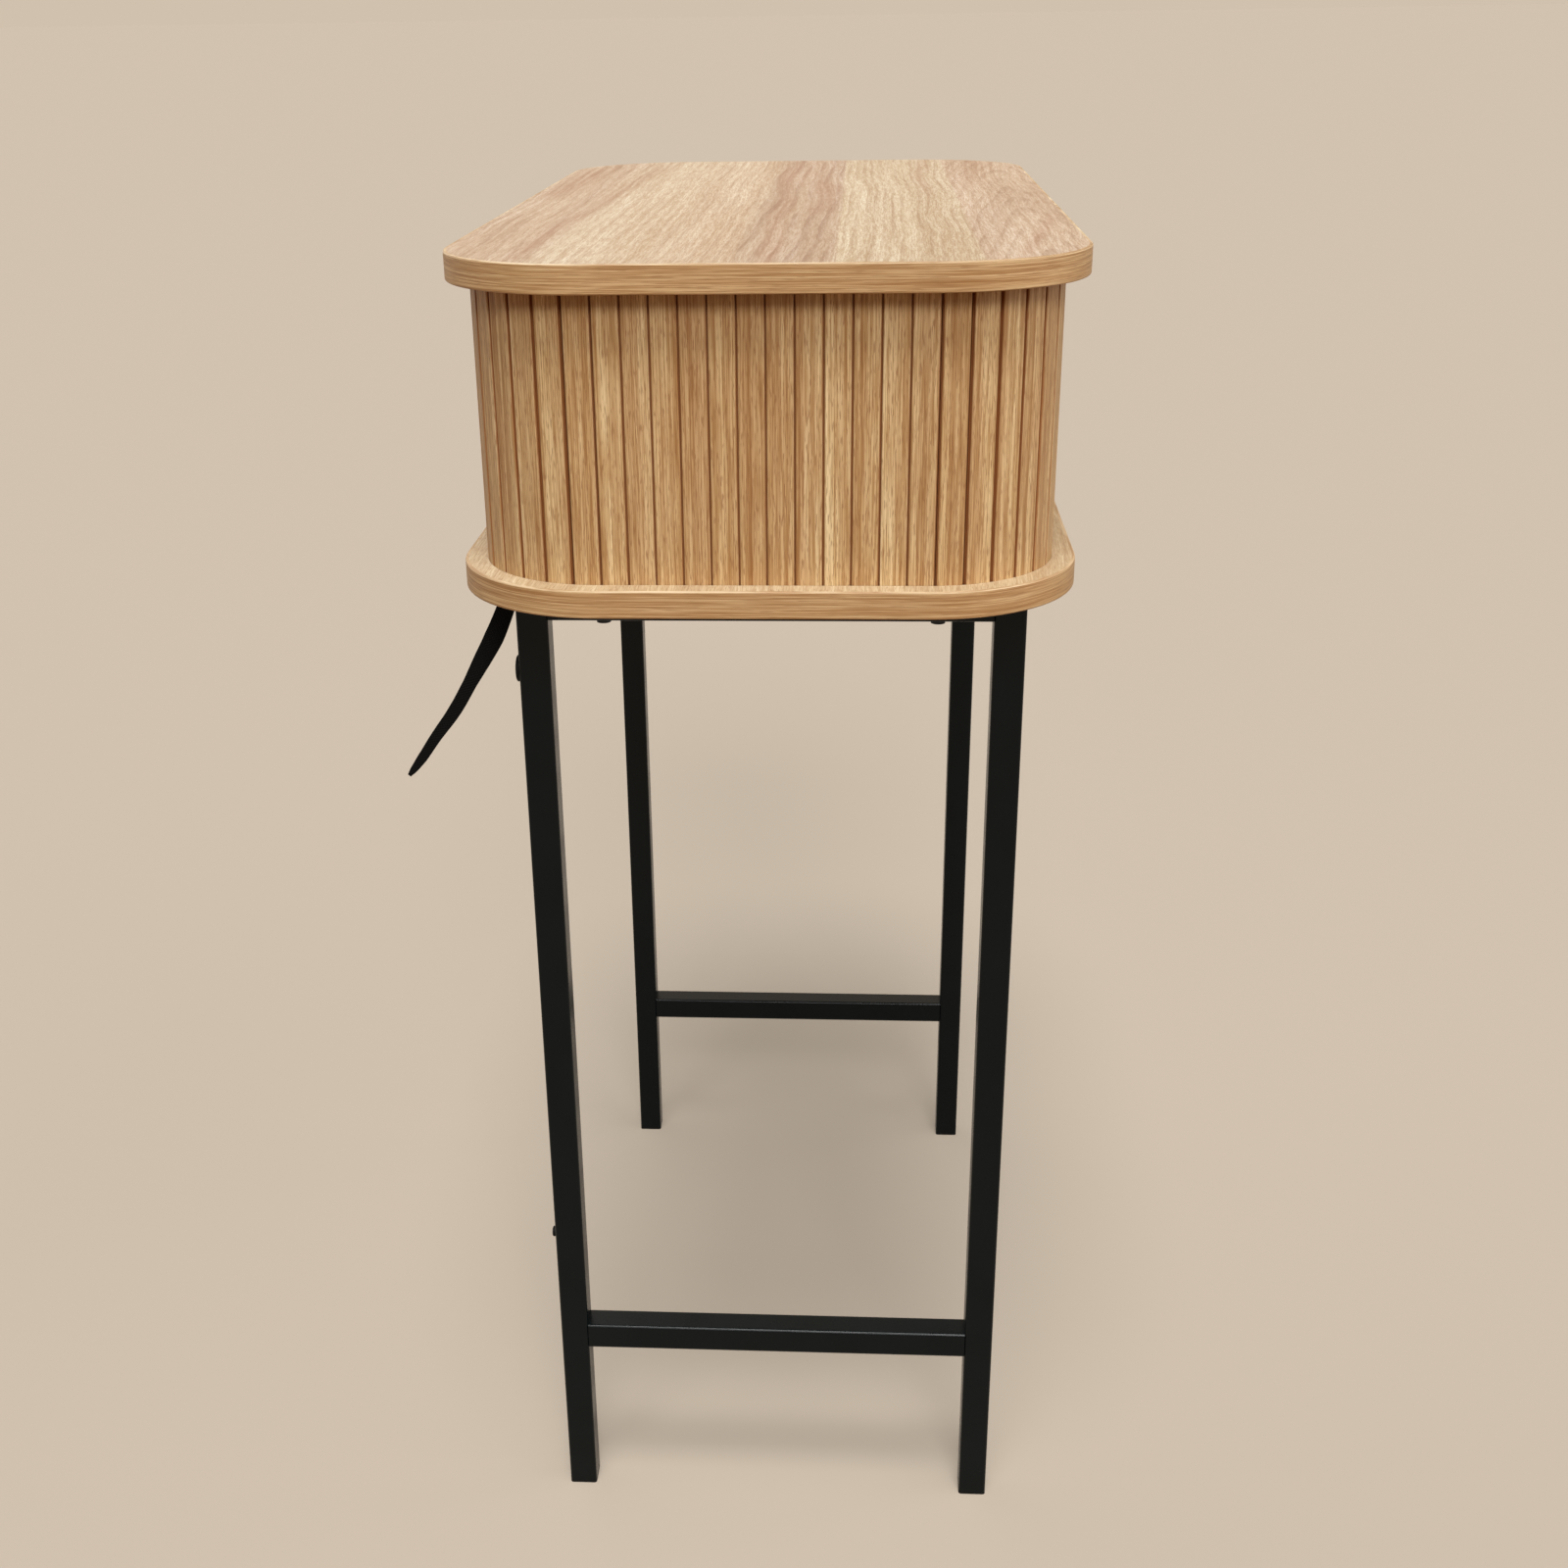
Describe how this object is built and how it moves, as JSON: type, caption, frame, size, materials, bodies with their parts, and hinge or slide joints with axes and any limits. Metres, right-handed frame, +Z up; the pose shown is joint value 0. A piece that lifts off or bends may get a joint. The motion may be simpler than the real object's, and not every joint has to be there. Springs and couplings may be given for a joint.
{
  "type": "tambour desk",
  "caption": "Small writing desk: an oak box with rounded ends and sliding slatted curtains, on a black square-tube frame with a crossbar at each end.",
  "frame": {"origin": "on the floor under the middle of the desk top", "axes": "+X along the length to the right end, +Y from the front to the back, +Z up"},
  "size_m": [0.714, 0.425, 0.91],
  "materials": {
    "oak_board": "satin lacquered oak veneer",
    "oak_edge": "satin oak edge band",
    "oak_slat": "satin lacquered oak",
    "oak_carcass": "satin oak veneer on board",
    "hardboard": "thin veneered board",
    "beech": "plain fluted dowel",
    "canvas": "plain woven cotton",
    "black_steel": "satin black powder coat",
    "black_plastic": "fine matt moulding",
    "black_bolt": "black oxide",
    "zinc_steel": "zinc plated",
    "strap_nylon": "woven nylon"
  },
  "bodies": {
    "desk": {"top_board": "oak_board", "base_board": "oak_board", "top_edge_band": "oak_edge", "base_edge_band": "oak_edge", "left_upright": "oak_carcass", "right_upright": "oak_carcass", "centre_divider": "oak_carcass", "back_panel": "hardboard", "outer_back": "oak_carcass", "left_end_slats": "oak_slat", "right_end_slats": "oak_slat", "left_end_canvas": "canvas", "right_end_canvas": "canvas", "left_front_leg": "black_steel", "left_back_leg": "black_steel", "right_front_leg": "black_steel", "right_back_leg": "black_steel", "left_top_rail": "black_steel", "right_top_rail": "black_steel", "left_crossbar": "black_steel", "right_crossbar": "black_steel", "upper_leg_plug": "black_plastic", "lower_leg_plug": "black_plastic", "left_front_leg_cap": "black_plastic", "left_back_leg_cap": "black_plastic", "right_front_leg_cap": "black_plastic", "right_back_leg_cap": "black_plastic", "rail_bolts": "black_bolt", "threaded_inserts": "zinc_steel", "cam_discs": "zinc_steel", "cam_bolts": "zinc_steel", "base_screws": "zinc_steel", "back_panel_screws": "zinc_steel", "dowels": "beech", "wall_strap": "strap_nylon", "strap_bracket": "black_plastic", "strap_screw": "zinc_steel"},
    "left_door": {"left_lead_rail": "oak_slat", "left_door_slats": "oak_slat", "left_door_canvas": "canvas"},
    "right_door": {"right_lead_rail": "oak_slat", "right_door_slats": "oak_slat", "right_door_canvas": "canvas"}
  },
  "joints": [
    {"name": "left_door_slide", "type": "slide", "parent": "desk", "child": "left_door", "axis": [-1, 0, 0], "range_m": [0, 0.235], "deforming": ["left_door_slats", "left_door_canvas"]},
    {"name": "right_door_slide", "type": "slide", "parent": "desk", "child": "right_door", "axis": [1, 0, 0], "range_m": [0, 0.235], "deforming": ["right_door_slats", "right_door_canvas"]}
  ]
}
